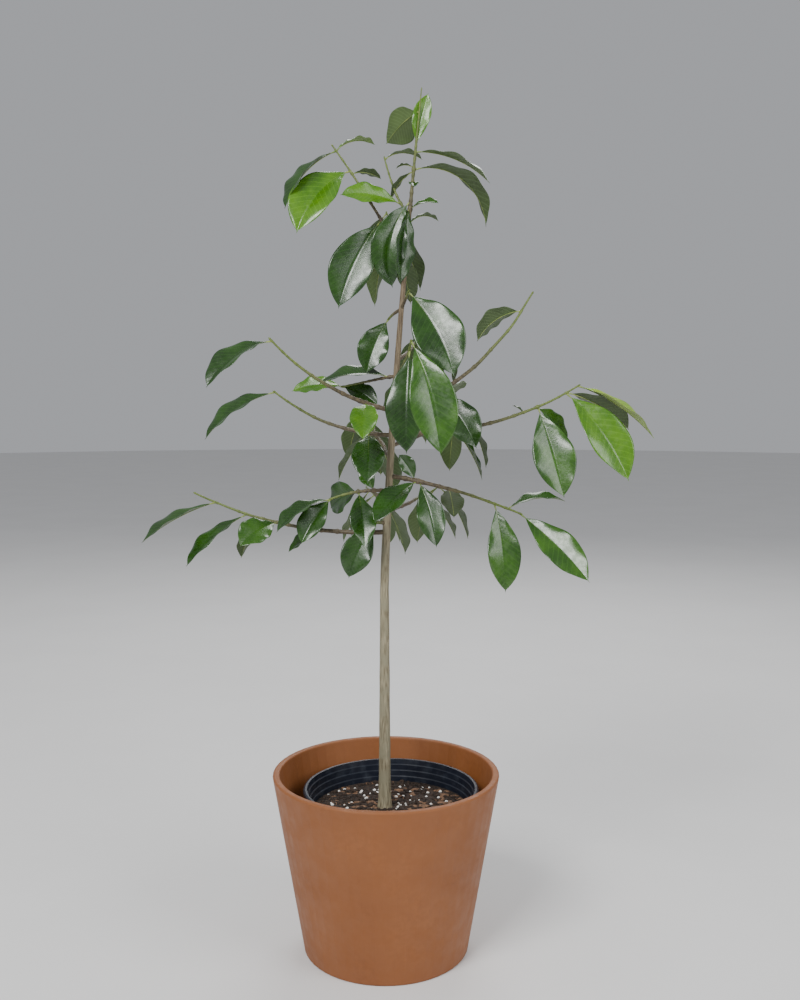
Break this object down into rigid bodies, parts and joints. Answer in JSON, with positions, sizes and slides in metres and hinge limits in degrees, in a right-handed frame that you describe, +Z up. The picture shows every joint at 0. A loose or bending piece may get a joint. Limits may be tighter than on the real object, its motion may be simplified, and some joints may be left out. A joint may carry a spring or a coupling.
{
  "type": "potted soursop tree",
  "caption": "Young soursop tree with an upright trunk and leafy side boughs, in a nursery pot set inside a plain tapering cover pot",
  "frame": {"origin": "centre of the cover pot's flat underside, on the floor", "axes": "+Z up; seen from the front, +X to the right and +Y away from the viewer"},
  "size_m": [0.7629, 0.435, 1.2681],
  "materials": {
    "cover_pot": "matt terracotta colour",
    "nursery_pot": "dull blue-black",
    "soil": "rough, dark brown",
    "bark": "rough grey-brown bark",
    "foliage": "glossy green leaves"
  },
  "bodies": {
    "root": {"cover_pot": "cover_pot", "nursery_pot": "nursery_pot", "soil": "soil", "trunk": "bark", "bough_top_left": "bark", "bough_front": "bark", "bough_right_high": "bark", "bough_right": "bark", "bough_right_low": "bark", "bough_left_high": "bark", "bough_left": "bark", "bough_left_inner": "bark", "bough_left_low": "bark", "bough_back_top": "bark", "bough_back_middle": "bark", "bough_back": "bark", "bough_back_right": "bark", "bough_back_left": "bark", "bough_back_low": "bark", "bough_back_low_right": "bark", "foliage_leader": "foliage", "foliage_top_left": "foliage", "foliage_front_high": "foliage", "foliage_back_high": "foliage", "foliage_front": "foliage", "foliage_right_high": "foliage", "foliage_right": "foliage", "foliage_right_low": "foliage", "foliage_left_high": "foliage", "foliage_left_back": "foliage", "foliage_left": "foliage", "foliage_left_inner": "foliage", "foliage_front_low": "foliage", "foliage_left_low": "foliage", "foliage_back_top": "foliage", "foliage_back_middle": "foliage", "foliage_back": "foliage", "foliage_back_right": "foliage", "foliage_back_left": "foliage", "foliage_back_low": "foliage", "foliage_back_low_right": "foliage"}
  },
  "joints": []
}
